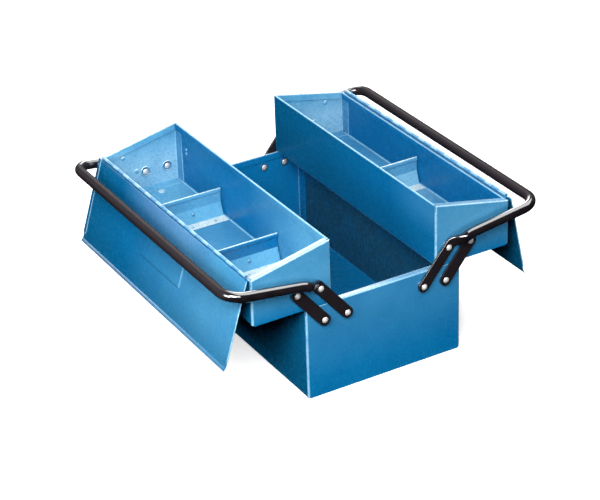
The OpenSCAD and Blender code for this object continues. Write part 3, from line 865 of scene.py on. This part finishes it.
# Finish of the nodes with that word in their name: the first that fits, or else the base ends' enamel
FINISH = {
    "rivets": RIVET,
    "washers": WASHER,
    "pin": PIN,
    "arm": BLACK,
    "base_trough": BLUE_BASE,
    "tray_trough_left": BLUE_TRAY_LEFT,
    "tray_trough_right": BLUE_TRAY_RIGHT,
    "tray_end_left_far": BLUE_FAR_END,
    "tray_end_right_far": BLUE_FAR_END,
    "tray_end": BLUE_NEAR_END,
    "hinge_tray_leaf": BLUE_HINGE,
    "hinge_lid_leaf": BLUE_LEAF,
}
for name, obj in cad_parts.items():
    found = [finish for word, finish in FINISH.items() if word in name]
    obj.data.materials.clear()
    obj.data.materials.append(found[0] if found else BLUE_BASE_END)

# ---------------------------------------------------------------- floor, light and camera, in metres

FLOOR_HALF = 24
FLOOR_TONES = (0.80, 0.80, 0.80), (0.83, 0.83, 0.83)

# Ramps of the surroundings' brightness, as (towards, (from, to, dimmest, brightest)): one brightens behind
# the box, above it and to its right, and one dims what lies below
SURROUNDINGS = (
    ((-0.66, 0.48, 0.58), (0.25, 0.97, 0.10, 1.9)),
    ((0, 0, 1), (-0.02, 0.12, 0.12, 1.0)),
)
BOX_MIDDLE = (0, 0, 0.1)


def stage_floor():
    """Plain pale floor, which neither shows in the gloss nor tints the box."""
    m, shader = material("pale_floor", Roughness=0.9, Specular_IOR_Level=0.1,
                         Emission_Color=(1, 1, 1, 1), Emission_Strength=0.6)
    m.node_tree.links.new(mixed(m, noise_of(m, 400, 2), *FLOOR_TONES), shader.inputs["Base Color"])
    corners = [(x * FLOOR_HALF, y * FLOOR_HALF, 0) for x, y in ((-1, -1), (1, -1), (1, 1), (-1, 1))]
    mesh = bpy.data.meshes.new("floor")
    mesh.from_pydata(corners, [], [(0, 1, 2, 3)])
    mesh.materials.append(m)
    obj = bpy.data.objects.new("floor", mesh)
    bpy.context.scene.collection.objects.link(obj)
    obj.visible_glossy = obj.visible_diffuse = False


def area_light(name, place, target, size, power, in_gloss=True):
    """Square soft light at a place, turned to a target, with its power in watts."""
    data = bpy.data.lights.new(name, "AREA")
    data.shape, data.size, data.energy = "SQUARE", size, power
    obj = bpy.data.objects.new(name, data)
    obj.location = place
    obj.rotation_euler = (Vector(target) - Vector(place)).to_track_quat("-Z", "Y").to_euler()
    obj.visible_camera = False
    obj.visible_glossy = in_gloss
    bpy.context.scene.collection.objects.link(obj)


def studio_world():
    """Soft surroundings, whose brightness is the product of two ramps."""
    world = bpy.data.worlds.new("studio")
    world.use_nodes = True
    tree = world.node_tree
    coords = tree.nodes.new("ShaderNodeTexCoord")
    strength = tree.nodes.new("ShaderNodeMath")
    strength.operation = "MULTIPLY"
    for i, (towards, limits) in enumerate(SURROUNDINGS):
        dot = tree.nodes.new("ShaderNodeVectorMath")
        dot.operation = "DOT_PRODUCT"
        dot.inputs[1].default_value = Vector(towards).normalized()
        ramp = tree.nodes.new("ShaderNodeMapRange")
        ramp.interpolation_type = "SMOOTHSTEP"
        for socket, value in zip(("From Min", "From Max", "To Min", "To Max"), limits):
            ramp.inputs[socket].default_value = value
        tree.links.new(coords.outputs["Generated"], dot.inputs[0])
        tree.links.new(dot.outputs["Value"], ramp.inputs["Value"])
        tree.links.new(ramp.outputs["Result"], strength.inputs[i])
    tree.links.new(strength.outputs["Value"], tree.nodes["Background"].inputs["Strength"])
    bpy.context.scene.world = world


stage_floor()
studio_world()
area_light("key", (1.3, -1.2, 1.6), BOX_MIDDLE, size=0.9, power=54)
area_light("fill", (1.6, -0.6, 1.6), BOX_MIDDLE, size=0.9, power=14)
area_light("near_end", (2.2, 0.3, 0.3), BOX_MIDDLE, size=0.6, power=15, in_gloss=False)
area_light("near_left", (0.30, -0.60, 0.38), (0.1, -0.2, 0.1), size=0.25, power=2.2)
area_light("overhead", (0.05, 0.75, 1.75), BOX_MIDDLE, size=1.6, power=24)
area_light("behind", (-1.35, 0.45, 1.10), BOX_MIDDLE, size=1.0, power=22)
area_light("behind_left", (-1.6, -1.15, 0.75), BOX_MIDDLE, size=0.45, power=7)

CAMERA_AT = (1.86651, -1.06361, 1.25323)
AZIMUTH, ELEVATION, ROLL = math.radians(60.409), math.radians(28.732), math.radians(-2.05)
FOCAL_PX, PICTURE_W = 2106.4, 600       # focal length and width of the picture, in its pixels
SENSOR_W = 36                           # width of the camera's sensor, in mm


def add_camera():
    """The scene's camera, which looks down on the near left corner of the box."""
    back = Vector((math.sin(AZIMUTH) * math.cos(ELEVATION), -math.cos(AZIMUTH) * math.cos(ELEVATION),
                   math.sin(ELEVATION)))
    level = Vector((math.cos(AZIMUTH), math.sin(AZIMUTH), 0))
    rise = back.cross(level).normalized()
    right = level * math.cos(ROLL) + rise * math.sin(ROLL)
    up = -level * math.sin(ROLL) + rise * math.cos(ROLL)
    lens = bpy.data.cameras.new("camera")
    lens.sensor_fit, lens.sensor_width = "HORIZONTAL", SENSOR_W
    lens.lens = FOCAL_PX * SENSOR_W / PICTURE_W
    lens.clip_start, lens.clip_end = 0.05, 50
    camera = bpy.data.objects.new("camera", lens)
    camera.matrix_world = Matrix.Translation(CAMERA_AT) @ Matrix((right, up, back)).transposed().to_4x4()
    bpy.context.scene.collection.objects.link(camera)
    bpy.context.scene.camera = camera


add_camera()
bpy.context.scene.view_settings.view_transform = "Standard"

bpy.context.view_layer.update()
